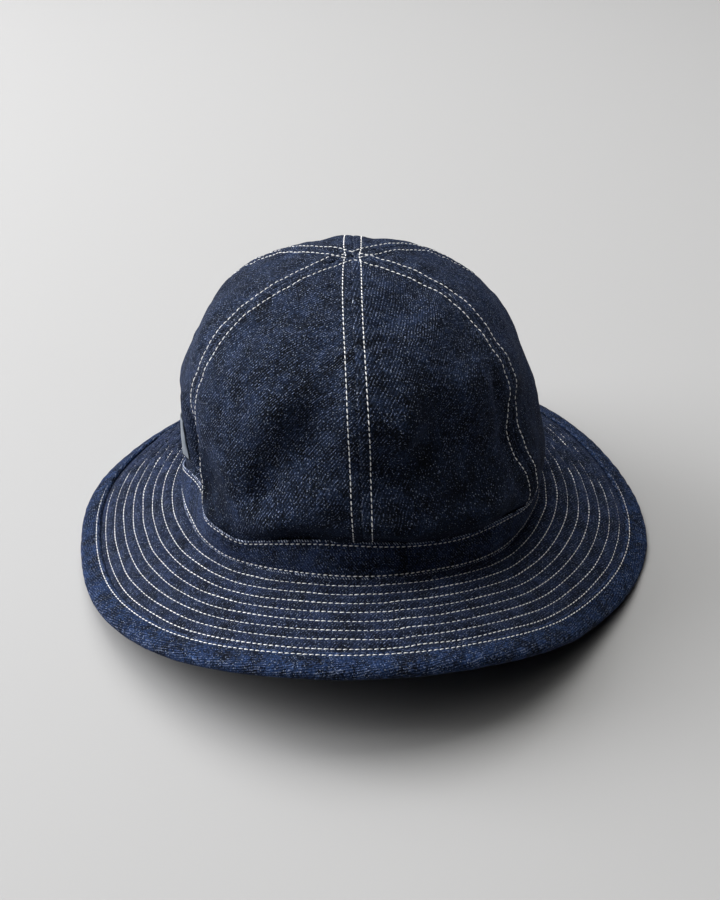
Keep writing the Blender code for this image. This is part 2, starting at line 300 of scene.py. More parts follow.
def denim(name, warp, pale_warp, dye, nap, wales=0.0, rub=0.12, weft=1.05, lint=0.4, lint_hue="566a8e"):
    """Raw denim: a 3/1 twill of rope-dyed indigo warp over an undyed weft, whose points climb in diagonals.

    To the eye it is matt and nearly black-blue, uneven in its dye, dusted with pale points and lint, and a
    soft nap lightens it where it turns away. Where a fold is rubbed, its diagonals show as rows of dots.
    A greater dye keeps more of the warp dark. wales, weft and lint say how plainly the diagonals, the weft's
    points and the lint show, and rub how much rubbing lightens the dye, and how much painted shade darkens
    it.
    """
    material, add = bare_material(name)
    falling = {"To Min": 1.0, "To Max": 0.0}

    # The weave: swaying yarns, the weft's points in diagonal order, and the warp's ribs.
    laid = add("ShaderNodeUVMap", uv_map="cloth")
    sways = {"Vector": laid, "Scale": 1 / SWAY[0], "Detail": 1.0}
    sway = add("ShaderNodeTexNoise", sways, noise_dimensions="2D")
    swayed = {0: sway.outputs["Color"], 1: (SWAY[1], SWAY[1], 0.0), 2: laid}
    cloth = add("ShaderNodeVectorMath", swayed, operation="MULTIPLY_ADD")
    per_yarn = {0: cloth, 1: (1 / END_PITCH, 1 / PICK_PITCH, 0.0)}
    yarns = add("ShaderNodeVectorMath", per_yarn, operation="MULTIPLY")
    crossing = add("ShaderNodeVectorMath", {0: yarns}, operation="FLOOR")
    inside = add("ShaderNodeVectorMath", {0: yarns}, operation="FRACTION")
    cell = add("ShaderNodeSeparateXYZ", {0: crossing})
    lag = add("ShaderNodeMath", {0: cell.outputs[0], 1: cell.outputs[1]}, operation="SUBTRACT")
    over = add("ShaderNodeMath", {0: lag, 1: float(TWILL)}, operation="FLOORED_MODULO")
    weft_point = add("ShaderNodeMath", {0: over, 1: 0.5}, operation="LESS_THAN")
    from_middle = add("ShaderNodeVectorMath", {0: inside, 1: (0.5, 0.5, 0.0)}, operation="DISTANCE")
    near = {"Value": from_middle.outputs["Value"], "From Min": 0.15, "From Max": 0.65}
    dot = add("ShaderNodeMapRange", {**near, **falling})
    point = add("ShaderNodeMath", {0: weft_point, 1: dot}, operation="MULTIPLY")
    place = add("ShaderNodeSeparateXYZ", {0: yarns})
    climb = add("ShaderNodeMath", {0: place.outputs[0], 1: place.outputs[1]}, operation="SUBTRACT")
    phase = add("ShaderNodeMath", {0: climb, 1: 2 * np.pi / TWILL}, operation="MULTIPLY")
    rib = add("ShaderNodeMath", {0: phase}, operation="SINE")

    # Its unevenness, from each crossing's own chance up to clouds of dye.
    chance = add("ShaderNodeTexWhiteNoise", {"Vector": crossing}, noise_dimensions="2D").outputs["Value"]
    grains = {"Vector": cloth, "Scale": 1 / GRAIN, "Detail": 2.0, "Roughness": 0.7}
    grain = add("ShaderNodeTexNoise", grains, noise_dimensions="2D")
    crinkles = {"Vector": laid, "Scale": 1 / CRINKLE, "Detail": 4.0, "Roughness": 0.68, "Distortion": 0.4}
    crinkle = add("ShaderNodeTexNoise", crinkles, noise_dimensions="2D")
    per_slub = {0: cloth, 1: (1 / SLUB[0], 1 / SLUB[1], 0.0)}
    streaks = add("ShaderNodeVectorMath", per_slub, operation="MULTIPLY")
    slubs = {"Vector": streaks, "Scale": 1.0, "Detail": 2.0}
    slub = add("ShaderNodeTexNoise", slubs, noise_dimensions="2D")
    clouds = {"Vector": laid, "Scale": 1 / CLOUD, "Detail": 2.0}
    cloud = add("ShaderNodeTexNoise", clouds, noise_dimensions="2D")

    # Wear, which is uneven too, and bares the weft's points and the ribs. A worn below 0 is painted shade
    # instead, which darkens the dye and hides the weft's points.
    worn = add("ShaderNodeAttribute", attribute_name="worn")
    uneven = {"Value": crinkle, "From Min": 0.38, "From Max": 0.62, "To Min": 0.35, "To Max": 1.45}
    rubbing = add("ShaderNodeMapRange", uneven)
    rubbed = add("ShaderNodeMath", {0: worn.outputs["Fac"], 1: rubbing}, operation="MULTIPLY")
    luck = add("ShaderNodeMath", {0: chance, 1: 2.0}, operation="POWER")
    bright = add("ShaderNodeMath", {0: rubbed, 1: 0.5, 2: luck}, operation="MULTIPLY_ADD")
    bare = {"Value": grain, "From Min": 0.42, "From Max": 0.66, "To Min": 0.1, "To Max": 1.6 * weft}
    patch = add("ShaderNodeMapRange", bare)
    patchy = add("ShaderNodeMath", {0: bright, 1: patch}, operation="MULTIPLY")
    points = add("ShaderNodeMath", {0: point, 1: patchy}, operation="MULTIPLY")
    wale = add("ShaderNodeMapRange", {"Value": rib, "From Min": 0.25, "From Max": 0.9})
    hardest = {"Value": rubbed, "From Min": 0.55, "From Max": 0.85, "To Max": wales}
    hard = add("ShaderNodeMapRange", hardest)

    # The dye: what each kind of unevenness adds to the tone.
    tone = -1.72
    adds = ((slub, 0.40), (crinkle, 1.25), (cloud, 1.10), (grain, 1.50), (chance, 0.30), (rib, 0.07))
    for pattern, weight in (*adds, (rubbed, rub)):
        tone = add("ShaderNodeMath", {0: pattern, 1: weight, 2: tone}, operation="MULTIPLY_ADD")
    depth = add("ShaderNodeMapRange", {"Value": tone, "From Min": dye, "From Max": dye + 0.85})
    dyes = {"Factor": depth, "A": linear(warp), "B": linear(pale_warp)}
    dyed = add("ShaderNodeMix", dyes, data_type="RGBA")
    woven = add("ShaderNodeMix", {"Factor": points, "A": dyed, "B": linear("8d9bc0")}, data_type="RGBA")
    bald = add("ShaderNodeMath", {0: wale, 1: hard}, operation="MULTIPLY")
    woven = add("ShaderNodeMix", {"Factor": bald, "A": woven, "B": linear("d2dcee")}, data_type="RGBA")

    # Lint in thin loops, and a few flecks.
    loops = {"Vector": laid, "Scale": 1 / LINT, "Detail": 1.0, "Distortion": 2.4}
    loop = add("ShaderNodeTexNoise", loops, noise_dimensions="2D")
    off_line = add("ShaderNodeMath", {0: loop, 1: 0.5}, operation="SUBTRACT")
    distance = add("ShaderNodeMath", {0: off_line}, operation="ABSOLUTE")
    line = add("ShaderNodeMapRange", {"Value": distance, "From Max": 0.030, **falling})
    where = {"Value": cloud.outputs["Color"], "From Min": 0.40, "From Max": 0.62, "To Max": lint}
    somewhere = add("ShaderNodeMapRange", where)
    lints = add("ShaderNodeMath", {0: line, 1: somewhere}, operation="MULTIPLY")
    linted = add("ShaderNodeMix", {"Factor": lints, "A": woven, "B": linear(lint_hue)}, data_type="RGBA")
    flecks = add("ShaderNodeTexVoronoi", {"Vector": cloth, "Scale": 1 / FLECK}, voronoi_dimensions="2D")
    draw = add("ShaderNodeSeparateXYZ", {0: flecks.outputs["Color"]})
    rare = {"Value": draw.outputs[0], "From Min": 0.60, "From Max": 1.0, "To Max": 0.75}
    picked = add("ShaderNodeMapRange", rare)
    small = {"Value": flecks.outputs["Distance"], "From Min": 0.05, "From Max": 0.19}
    speck = add("ShaderNodeMapRange", {**small, **falling})
    fleck = add("ShaderNodeMath", {0: picked, 1: speck}, operation="MULTIPLY")
    face = add("ShaderNodeMix", {"Factor": fleck, "A": linted, "B": linear("b9c6dc")}, data_type="RGBA")

    weave = add("ShaderNodeMath", {0: rib, 1: 0.35, 2: chance}, operation="MULTIPLY_ADD")
    creased = add("ShaderNodeBump", {"Strength": 1.0, "Distance": 0.0010, "Height": crinkle})
    ribbed = {"Strength": 0.6, "Distance": 0.00014, "Height": weave, "Normal": creased}
    bump = add("ShaderNodeBump", ribbed)
    cotton = {"Base Color": face, "Roughness": 0.9, "Specular IOR Level": 0.07, "Normal": bump}
    cotton.update({"Sheen Weight": nap, "Sheen Roughness": 0.45, "Sheen Tint": linear("7c93d0")})
    shader = add("ShaderNodeBsdfPrincipled", cotton)
    add("ShaderNodeOutputMaterial", {"Surface": shader})
    return material


quilted_denim = denim(
    "raw_denim_quilted", "090c12", "222d49", dye=0.35, nap=0.19, rub=0.5, weft=0.8, lint=0.35
)

turn = np.linspace(0, 360, BRIM_STATIONS, endpoint=False)[:, None]
brim_end = 1 - BRIM_STOP / BRIM_WIDTH
rows_at = ROW_FIRST + ROW_PITCH * np.arange(ROW_COUNT)[:, None] + np.array(ROW_COLUMNS) / 1000
ring_places = np.concatenate([np.array(FOOT_COLUMNS) / 1000, rows_at.ravel()]) / BRIM_WIDTH
over = np.concatenate([[MARGIN_SHARE], ring_places, [HEM_COLUMN, brim_end]])[None]
under_places = np.linspace(1 - HEM_START / BRIM_WIDTH, 0, UNDER_COLUMNS)
under = np.concatenate([[brim_end], under_places, [MARGIN_SHARE]])[None]
plies = np.concatenate([brim_face(turn, over), brim_face(turn, under, -1)], 1)
around = np.linspace(0, 360, BRIM_STATIONS + 1)[:, None]
cut = np.concatenate([over, under, over[:, :1]], 1)
brim = make_piece("brim_cloth", plies, plan_of(around, cut), 0.0, quilted_denim, closed=True)
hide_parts("brim")

THREAD = 0.00052  # width of the topstitching thread as it lies
PRESSED = 0.8  # its height as a share of that, pressed flat by its own tension
SUNK = 0.00011  # how much deeper the upper rows lie at the back, where the plies puff up most
SLANT = 0.00016  # how far a stitch lies askew in its row, from hole to hole
STITCH_TAPER = (0.45, 0.92, 1.0, 0.92, 0.45)  # a stitch's thickness from hole to hole, in threads
STITCH_ARCH = (-0.55, -0.03, 0.03, -0.03, -0.55)  # and its height
STITCH_STRAY = (0.03, 0.05, 0.35)  # how unequal stitches are, as shares: in place, length and slant


def polyester(name, direction, stretch, tones, relief, roughness, sheen):
    """Polyester yarns side by side: uneven bands of two tones, with a relief of the same shape."""
    material, add = bare_material(name)
    laid = add("ShaderNodeUVMap", uv_map="cloth")
    bands = {"Vector": laid, "Scale": 1 / stretch[0], "Distortion": stretch[1]}
    band = add("ShaderNodeTexWave", bands, bands_direction=direction).outputs["Fac"]
    shades = {"Factor": band, "A": linear(tones[0]), "B": linear(tones[1])}
    tone = add("ShaderNodeMix", shades, data_type="RGBA")
    bump = add("ShaderNodeBump", {"Strength": relief[0], "Distance": relief[1], "Height": band})
    spun = {"Base Color": tone, "Roughness": roughness, "Sheen Weight": sheen, "Normal": bump}
    shader = add("ShaderNodeBsdfPrincipled", spun)
    add("ShaderNodeOutputMaterial", {"Surface": shader})
    return material


# Spun topstitching thread: ivory, twisted from plies, with a slight gloss. Its twist turns every 2.6 mm,
# drawn coarse so that it shows.
ivory = ("dcdddf", "ffffff")
thread = polyester("ivory_thread", "DIAGONAL", (0.0042, 0.6), ivory, (0.5, 0.00008), 0.55, 0.2)


def facing(surface, first, second):
    """Points of a surface function and its outward normals, from small steps along both its parameters."""
    small = 1e-3
    across = surface(first, second + small) - surface(first, second - small)
    along = surface(first + small, second) - surface(first - small, second)
    normal = np.cross(across, along)
    return surface(first, second), normal / np.linalg.norm(normal, axis=-1, keepdims=True)


def sew(name, rows, pitch, proud, taut):
    """Lockstitches along rows, each row a fine line of points on the cloth with the cloth's normals.

    Each stitch is a pressed thread that rises out of one hole and dives into the next, a little askew. Its
    axis stands proud of the line by a share of the thread, and taut is the share of its pitch that shows.
    """
    draw = np.random.default_rng(len(rows))
    stray_place, stray_length, stray_slant = STITCH_STRAY
    sides, rings = 6, len(STITCH_TAPER)
    place = np.linspace(0, 1, rings)
    thick = THREAD / 2 * np.array(STITCH_TAPER)
    height = THREAD * (proud + np.array(STITCH_ARCH))
    turned = np.linspace(0, 2 * np.pi, sides, endpoint=False)
    ring = np.arange(sides)
    tube = np.stack([ring, (ring + 1) % sides, (ring + 1) % sides + sides, ring + sides], -1)
    tube = (tube[None] + sides * np.arange(rings - 1)[:, None, None]).reshape(-1, 4)
    start_cap = np.array([[3, 2, 1, 0], [0, 5, 4, 3]])
    end_cap = sides * (rings - 1) + np.array([[0, 1, 2, 3], [3, 4, 5, 0]])
    faces = np.concatenate([tube, start_cap, end_cap])
    points, indices, laid = [], [], []
    made = 0
    for line, normals in rows:
        walked = np.concatenate([[0], np.cumsum(np.linalg.norm(np.diff(line, axis=0), axis=1))])
        count = max(int(round(walked[-1] / pitch)), 1)
        step = walked[-1] / count
        middle = (np.arange(count) + 0.5) * step + draw.normal(0, stray_place * pitch, count)
        half = taut * step / 2 * draw.normal(1, stray_length, count)
        start, end, up = (
            np.stack([np.interp(at, walked, values[:, k]) for k in range(3)], -1)
            for at, values in ((middle - half, line), (middle + half, line), (middle, normals))
        )
        along = end - start
        side = np.cross(up, along)
        side = side / np.linalg.norm(side, axis=-1, keepdims=True)
        askew = SLANT * draw.normal(1, stray_slant, count)[:, None] * (place - 0.5)
        axis = start[:, None] + along[:, None] * place[:, None] + side[:, None] * askew[..., None]
        axis = axis + up[:, None] * height[:, None]
        spoke = side[:, None] * np.cos(turned)[:, None] + up[:, None] * PRESSED * np.sin(turned)[:, None]
        points.append((axis[:, :, None] + spoke[:, None] * thick[:, None, None]).reshape(-1, 3))
        firsts = made + sides * rings * np.arange(count)
        indices.append((faces[None] + firsts[:, None, None]).reshape(-1, 4))
        made += count * sides * rings
        grid = np.broadcast_arrays(place[:, None] * pitch, turned[None] * THREAD / 2)
        corners = np.stack(grid, -1).reshape(-1, 2)[faces.reshape(-1)]
        laid.append(np.broadcast_to(corners, (count, *corners.shape)).reshape(-1))
    add_piece(name, np.concatenate(points), np.concatenate(indices), np.concatenate(laid), thread)


FINE_TURN = np.linspace(0, 360, 2881)
upper_rows, lower_rows = [], []
for row in range(ROW_COUNT):
    wander = ROW_WANDER / BRIM_WIDTH * round_waves(FINE_TURN, 6, 30, 40 + row)
    share = (ROW_FIRST + row * ROW_PITCH) / BRIM_WIDTH + wander
    line, normal = facing(brim_face, FINE_TURN, share)
    upper_rows.append((line - normal * SUNK * toward_back(FINE_TURN)[:, None], normal))
    line, normal = facing(functools.partial(brim_face, side=-1), FINE_TURN, share)
    lower_rows.append((line, -normal))
sew("brim_stitches_upper", upper_rows, BRIM_STITCH, 0.10, 0.92)
sew("brim_stitches_lower", lower_rows, BRIM_STITCH, 0.10, 0.92)

# The hem: a strip of the same denim folded over the brim's edge, its raw edges turned in, and held by one
# row of stitches. The fold is rubbed pale, and squashed flat where the brim lies on the floor.

# The cut through the hem, from its inner fold on top, out round the edge and back underneath. Columns, in
# millimetres: distance in from the edge, height above the brim's face, and how pale the dye is rubbed.
HEM_CUT = (
    (12.5, 0.1, 0),
    (13, 0.8, 0.5),
    (12.4, 1.45, 0.6),
    (11.3, 1, 0.1),
    (10, 1.55, 0.1),
    (7.5, 1.95, 0.2),
    (4.5, 2.2, 0.3),
    (2, 1.8, 0.5),
    (0.5, 0.6, 0.6),
    (0, -1.1, 0.4),
    (0.4, -2.6, 0.1),
    (1.9, -3.4, 0.1),
    (5, -3.4, 0.1),
    (9, -3.2, 0.1),
    (11.3, -2.7, 0.1),
    (12.4, -2.9, 0.5),
    (12.7, -2.4, 0.5),
    (12, -2.05, 0),
    (3.4, -2, 0),
    (2.9, -0.9, 0),
    (3.4, 0.05, 0),
)
HEM_ROWS_AT = (3, 14)  # rows of that table where the stitches lie
HEM_INSIDE = 17  # the first of its rows that lies against the plies
# Where the inner fold stands up. Columns: angle, half spread, and share added to its height.
HEM_RISE = ((183, 34, 0.6), (18, 44, 0.6))
ROPE = 0.16  # millimetres that the strip rises and dips, twisted like a shallow rope
ROPE_LEAN = 0.55  # degrees that the twist leans for each millimetre in from the edge
ROPE_WORN = 0.12  # how much paler its high places are rubbed
HEM_SWELL = 0.12  # millimetres of longer swells
HEM_STATIONS = 900
HEM_ACROSS = 48
EDGE_LENGTH = 0.95  # the brim's edge, once round


def read_cut(cut, place):
    """Every column of a closed cut's table, read at a share of the way round it."""
    return [between_rows(column, place) for column in np.array(cut).T]


def turned_from(turn, middle):
    """Degrees from an angle, the shorter way round the hat."""
    return np.mod(turn - middle + 180, 360) - 180


def hem_surface(turn, place):
    """The hem's face, and how pale it is rubbed, at a share of the way round its cut.

    To the cut's height come a rope, whose waves lean with the distance in from the edge, and long swells.
    """
    turn, place = np.broadcast_arrays(turn, place)
    inward, above, worn = read_cut(HEM_CUT, place)
    outside = np.clip((12.4 - inward) / 3, 0, 1) * (place < HEM_INSIDE / len(HEM_CUT))
    inner = (above > 0) * np.clip((inward - 10) / 2, 0, 1)
    for rise_turn, spread, rise in HEM_RISE:
        above = above * (1 + rise * bell(turned_from(turn, rise_turn) / spread) * inner)
    rope = round_waves(turn - inward * ROPE_LEAN, 60, 130, 12)
    swell = round_waves(turn, 8, 30, 15)
    lift = outside * (ROPE * rope + HEM_SWELL * swell) * np.where(above > -1, 1, -0.6)
    reach = (inward - outside * HEM_SWELL * round_waves(turn, 20, 60, 16)) / 1000
    share = 1 - np.maximum(reach, 0) / BRIM_WIDTH
    return brim_point(turn, share, (above + lift) / 1000), worn + ROPE_WORN * outside * rope


def closed_grid(stations, across):
    """Angles round the hat down the rows, and shares of the way round a cut along the columns."""
    turn = np.linspace(0, 360, stations, endpoint=False)[:, None]
    return turn, np.linspace(0, 1, across, endpoint=False)[None]


def walked_round(points):
    """Lengths walked round a closed cut, as a mean over the whole piece, from 0 to all the way round."""
    closed = np.concatenate([points, points[:, :1]], 1)
    steps = np.linalg.norm(np.diff(closed, axis=1), axis=-1).mean(0)
    return np.concatenate([[0], np.cumsum(steps)])[None]


def cut_row(surface, place):
    """A stitch row round the hat, at a share of the way round a piece's cut."""
    return facing(lambda turn, place: surface(turn, place)[0], FINE_TURN, place)


hem_denim = denim(
    "raw_denim_folded", "060a12", "1b2f54", dye=0.46, nap=0.06, wales=0.22, rub=0.5, weft=0.6, lint=0.65,
    lint_hue="5272ac",
)
hem_points, hem_worn = hem_surface(*closed_grid(HEM_STATIONS, HEM_ACROSS))
across_strip = walked_round(hem_points)
along_strip = np.linspace(0, EDGE_LENGTH, HEM_STATIONS + 1)[:, None]
bias = np.stack([along_strip + across_strip, along_strip - across_strip], -1) / np.sqrt(2)
hem = make_piece("brim_hem", hem_points, bias, hem_worn, hem_denim, closed=True)
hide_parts("brim_binding")
hem_rows = [cut_row(hem_surface, row / len(HEM_CUT)) for row in HEM_ROWS_AT]
sew("hem_stitches", hem_rows, BRIM_STITCH, 0.2, 0.90)

# The band: a strip of denim with both edges folded under, laid over the join of crown and brim and
# topstitched along each edge. The soft crown drags its upper edge out and down, and creases it at the front.
BAND_HEIGHT = 0.019
BAND_STITCH = 0.0027
BAND_LENGTH = 0.60
BAND_OUT_TOP = 0.0012  # how far its upper and lower edges lie outside the oval
BAND_OUT_FOOT = 0.0015
BAND_CLEAR = 0.0004  # its foot above the brim's face
# How the crown drags the band. Columns: angle, millimetres that the upper edge goes out and down, and that
# the lower edge goes out.
BAND_SAG = (
    (162, 0, 0, 0),
    (170, -1.6, 0.4, 0),
    (179, -4.4, 2.2, 0),
    (186, -4.6, 3.8, 0),
    (192, -2.6, 4.4, -0.1),
    (197, -1.4, 3.2, -0.3),
    (202, -2.3, 1.2, -0.7),
    (208, -5.3, 0, -0.7),
    (216, -6.6, 0, -0.7),
    (222, -3.6, 0.3, 0),
    (229, 1.4, 1.8, 0.2),
    (237, 2.7, 2.9, 0.4),
    (245, 0.9, 5.7, -0.2),
    (249, -0.8, 5.4, -0.2),
    (261, -2.9, 3.3, 0.5),
    (277, -3.4, 2.3, 1.6),
    (300, -2.8, 4.2, 1),
    (316, -1.9, 3.6, 0.8),
    (325, 0, 1.1, 0.7),
    (332, 1.5, 0.6, 0.6),
    (340, 3.8, 1.1, 0.1),
    (350, 3.4, 0.8, 0.4),
    (365, 1, 0, 1.8),
    (380, 0, 0, 0),
)
# A crease that steps down across the band: the step's angle and half spread, the crease's height before and
# after it as shares of the band's, half width and depth. Then its middle angle and half length.
BAND_CREASE = (266, 11, 0.78, 0.27, 0.0012, 0.0007)
BAND_CREASE_REACH = (276, 42)
# The cut through the band, up behind its face, over the upper edge and down to the lower one. Columns: share
# of its height, millimetres out from its middle, and how pale the dye is rubbed.
BAND_CUT = (
    (0.3, -0.75, 0),
    (0.7, -0.75, 0),
    (0.98, -0.7, 0),
    (1.036, -0.35, 0.2),
    (1.034, 0.22, 1.3),
    (0.985, 0.5, 0.4),
    (0.915, 0.05, 0),
    (0.83, 0.45, 0),
    (0.61, 0.8, 0),
    (0.4, 0.8, 0),
    (0.26, 0.5, 0),
    (0.15, 0.45, 0),
    (0.085, 0.12, 0),
    (0.03, 0.55, 0.9),
    (-0.015, 0.3, 1.3),
    (-0.02, -0.35, 0.3),
    (0.045, -0.7, 0),
)
BAND_ROWS_AT = (6, 12)  # rows of that table where the stitches lie
BAND_UNEVEN = 0.25  # millimetres that its face waves between the edges
BAND_STATIONS = 720
BAND_ACROSS = 44


def natural_spline(table, place):
    """Natural cubic splines through a table's columns, over its first column as knots, read at place."""
    knots, columns = np.array(table, float)[:, 0], np.array(table, float)[:, 1:]
    steps = np.diff(knots)
    slopes = np.diff(columns, axis=0) / steps[:, None]
    system = np.eye(len(knots))
    right = np.zeros_like(columns)
    for i in range(1, len(knots) - 1):
        system[i, i - 1 : i + 2] = steps[i - 1], 2 * (steps[i - 1] + steps[i]), steps[i]
        right[i] = 6 * (slopes[i] - slopes[i - 1])
    bends = np.linalg.solve(system, right)
    index = np.clip(np.searchsorted(knots, place, side="right") - 1, 0, len(steps) - 1)
    step = steps[index][..., None]
    high = (place - knots[index])[..., None] / step
    low = 1 - high
    curve = (low**3 - low) * bends[index] + (high**3 - high) * bends[index + 1]
    return low * columns[index] + high * columns[index + 1] + curve * step**2 / 6


def sag(turn):
    """How far the band is dragged at an angle, in metres: a spline through each column of BAND_SAG."""
    first, last = BAND_SAG[0][0], BAND_SAG[-1][0]
    place = np.clip(np.mod(turn - first, 360) + first, None, last)
    return np.moveaxis(natural_spline(BAND_SAG, place), -1, 0) / 1000


def band_surface(turn, place):
    """The band's face, and how pale it is rubbed, at a share of the way round its cut.

    The cut leans from its foot to the dragged upper edge, its face waves, and the crease is a bell curve.
    """
    turn, place = np.broadcast_arrays(turn, place)
    level, off, worn = read_cut(BAND_CUT, place)
    push, drop, foot_push = sag(turn)
    foot_out, foot_height = brim_arc(turn, (BAND_OUT_FOOT + foot_push) / BRIM_WIDTH, BAND_CLEAR)
    top_out = BAND_OUT_TOP + push
    top_height = band_foot(turn) + BAND_HEIGHT - drop
    uneven = BAND_UNEVEN * np.sin(np.pi * np.clip(level, 0, 1)) * round_waves(turn + 30 * level, 5, 26, 21)
    step_turn, spread, before, after, wide, deep = BAND_CREASE
    lies = before + (after - before) * (1 + np.tanh((turn - step_turn) / spread)) / 2
    crease = deep * bell((level - lies) * BAND_HEIGHT / wide) * (off > -0.4)
    middle, reach = BAND_CREASE_REACH
    crease = crease * bell((turn - middle) / reach, 6)
    out = foot_out + (top_out - foot_out) * level + (off + uneven) / 1000 - crease
    height = foot_height + (top_height - foot_height) * level
    return on_oval(turn, out, height) + axis_place, worn


# The band's denim is the crown's cloth painted lighter: a paler warp, less dye and more nap paint light on
# the band's front, where the crown overhangs and shades it.
band_denim_painted_light = denim("raw_denim_strip_painted_light", "080c12", "28375a", dye=0.34, nap=0.16, wales=1.0)
band_points, band_worn = band_surface(*closed_grid(BAND_STATIONS, BAND_ACROSS))
along_band = np.linspace(0, BAND_LENGTH, BAND_STATIONS + 1)[:, None]
strip = np.stack(np.broadcast_arrays(along_band, walked_round(band_points)), -1)
band = make_piece("hat_band_cloth", band_points, strip, band_worn, band_denim_painted_light, closed=True)
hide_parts("hat_band")
band_rows = [cut_row(band_surface, row / len(BAND_CUT)) for row in BAND_ROWS_AT]
sew("band_stitches", band_rows, BAND_STITCH, 0.2, 0.83)

# The crown: six gores of denim seamed at their long edges, each seam pressed open and topstitched on both
# sides. The cloth is limp, so it puckers along the seams and folds over where it meets the band.
HAT_HEIGHT = 0.1545
CROWN_WALL = 0.0013
TIP_ANGLE = 89.6  # where the gores' points stop, up the dome
CROWN_LEAN = (-0.034, -0.002)  # how far the dome's top lies off the axis, as shares of OVAL_HALF_LENGTH
# The crown's fullness, as shares of a round dome over the oval. Columns: angle up the dome, then the right,
# back right, back, back left, left, front left, front and front right.
CROWN_ROWS = (
    (0, 1, 1, 1, 1, 1, 1, 1, 1),
    (12, 1.055, 1.03, 1.025, 1.01, 0.995, 1, 1.03, 1.075),
    (25, 1.06, 1.06, 1.06, 1.06, 1.075, 1.055, 1.065, 1.06),
    (38, 1.11, 1.075, 1.085, 1.1, 1.1, 1.145, 1.195, 1.2),
    (50, 1.18, 1.105, 1.035, 1.125, 1.19, 1.23, 1.27, 1.27),
    (62, 1.255, 1.078, 0.936, 1.08, 1.225, 1.3, 1.325, 1.35),
    (75, 1.31, 1.18, 1.086, 1.2, 1.28, 1.34, 1.36, 1.375),
    (90, 1.355, 1.355, 1.355, 1.355, 1.355, 1.355, 1.355, 1.355),
)
# Dents and swells. Columns: angle round, angle up, half spread across and along, lean of the long axis from
# upright in degrees, and depth as a share of OVAL_HALF_WIDTH, positive outwards.
CROWN_FOLDS = (
    (225, 7, 10, 10, 0, -0.03),
    (209.5, 8, 5, 13, 0, -0.15),
    (218.5, 9, 3.6, 11, 0, 0.03),
    (199, 3, 11, 6.5, 0, -0.02),
    (236, 16, 7, 8, 0, 0.04),
    (246, 17, 4.5, 8, 5, -0.052),
    (249, 6.5, 9, 3.8, 0, 0.085),
    (262, 13, 8, 5, 0, 0.05),
    (256, 33, 7.5, 14, 18, -0.1),
    (284.5, 36, 4.5, 12, 2, 0.05),
    (296, 35, 8.5, 12, 0, -0.092),
    (286, 22, 7, 9, 0, -0.046),
    (306, 20, 11, 16, 8, -0.04),
    (280, 6.8, 15, 3.8, 0, 0.078),
    (304, 7, 11, 4, 0, 0.062),
    (280, 13, 9, 4, 0, 0.03),
    (319.5, 37, 2.6, 8, 0, -0.036),
    (322, 17, 5, 9, 0, -0.04),
    (334, 14, 6, 10, 0, 0.01),
)
FOLD_FOOT = 1.6  # angle up over which the folds grow from nothing, at the band
SAG_REACH = 9  # angle up over which the crown follows the dragged band
TUCK = 0.0007  # how far inside the band's face the crown's foot lies
TUCK_REACH = 1.3  # angle up over which it comes out again
TAIL = 0.0045  # how far the crown's foot reaches down behind the band
# Painted shade: hollows and folds painted darker in the dye, where the lights leave them too bright.
# Columns: angle round, half spread, angle up, half spread, and how much darker it is painted, as worn taken
# away.
PAINTED_SHADE = (
    (276, 30, 0, 6.6, 2.2),
    (225, 10, 9, 9, 2.1),
    (342, 16, 16, 18, 1.5),
    (304, 15, 8, 12, 0.9),
    (288.5, 6.5, 32, 13, 1.1),
)
PANELS = ("side_right", "back_right", "back_left", "side_left", "front_left", "front_right")
SEAM_ANGLES = (32, 90, 148, 212, 271, 328)  # the seam after each panel
# How far each seam strays from its own angle, in millimetres. Columns: angle up, then each seam.
SEAM_STRAY = (
    (0, 0, 0, 0, 8.5, -0.3, 2),
    (8, 0, 0, 0, 7, -0.3, 0.5),
    (15, 0, 0, 0, 3.2, -0.3, -2.5),
    (23, 0, 0, 0, 0, -0.3, -1.5),
    (32, 0, 0, 0, -0.8, -0.3, 1.8),
    (47, 2, 0, -2, 0.4, -0.3, 2.5),
    (60, 5, 0, -4, 0, -0.5, 5),
    (75, 3, 0, 0, 0, -0.7, 4),
    (90, 0, 0, 0, 0, 0, 0),
)
SEAM_ROW = 0.00415  # seam to the stitch row on each side
CROWN_STITCH = 0.0028
# The relief beside a seam, as bell curves. Columns: distance from the seam, half spread and height, all in
# millimetres, and the curve's power.
SEAM_RELIEF = (
    (0, 6.4, 0.55, 6),
    (0, 0.55, -0.4, 2),
    (1000 * SEAM_ROW, 0.6, -0.32, 2),
    (8, 5, 0.42, 2),
    (0, 4.5, 0.16, 2),
)
LOOSE = 0.75  # millimetres that the open cloth waves
RUMPLE = 0.16  # and rumples, in waves a quarter as long
SEAM_WORN = (0.8, 0.5)  # how pale a seam's edge is rubbed, and over how many millimetres
GORE_ROWS = 104
ROW_CROWDING = 1.12  # power that crowds the rows towards the band
SEAM_COLUMNS = (0, 0.3, 0.65, 1.2, 2, 2.9, 3.6, 4.15, 4.7, 5.5, 6.6, 8, 10)  # millimetres from the seam
MIDDLE_COLUMNS = 24


def crown_radius(up, around):
    """Distance of the crown's face from its axis: a dome, its fullness, and a bell curve for each fold."""
    up = np.maximum(up, 0)
    own = np.radians(around - OVAL_TURN)
    oval = 1 / np.hypot(np.cos(own) / OVAL_HALF_WIDTH, np.sin(own) / OVAL_HALF_LENGTH)
    fullness = between_rows(natural_spline(CROWN_ROWS, up), around / 360)
    radius = oval * fullness * np.cos(np.radians(up))
    held = OVAL_HALF_WIDTH * (1 - bell(up / FOLD_FOOT))
    for fold_around, fold_up, wide, high, lean, depth in CROWN_FOLDS:
        off, above = turned_from(around, fold_around), up - fold_up
        cos, sin = np.cos(np.radians(lean)), np.sin(np.radians(lean))
        across, along = (off * cos - above * sin) / wide, (off * sin + above * cos) / high
        radius = radius + depth * held * bell(np.hypot(across, along))
    return radius


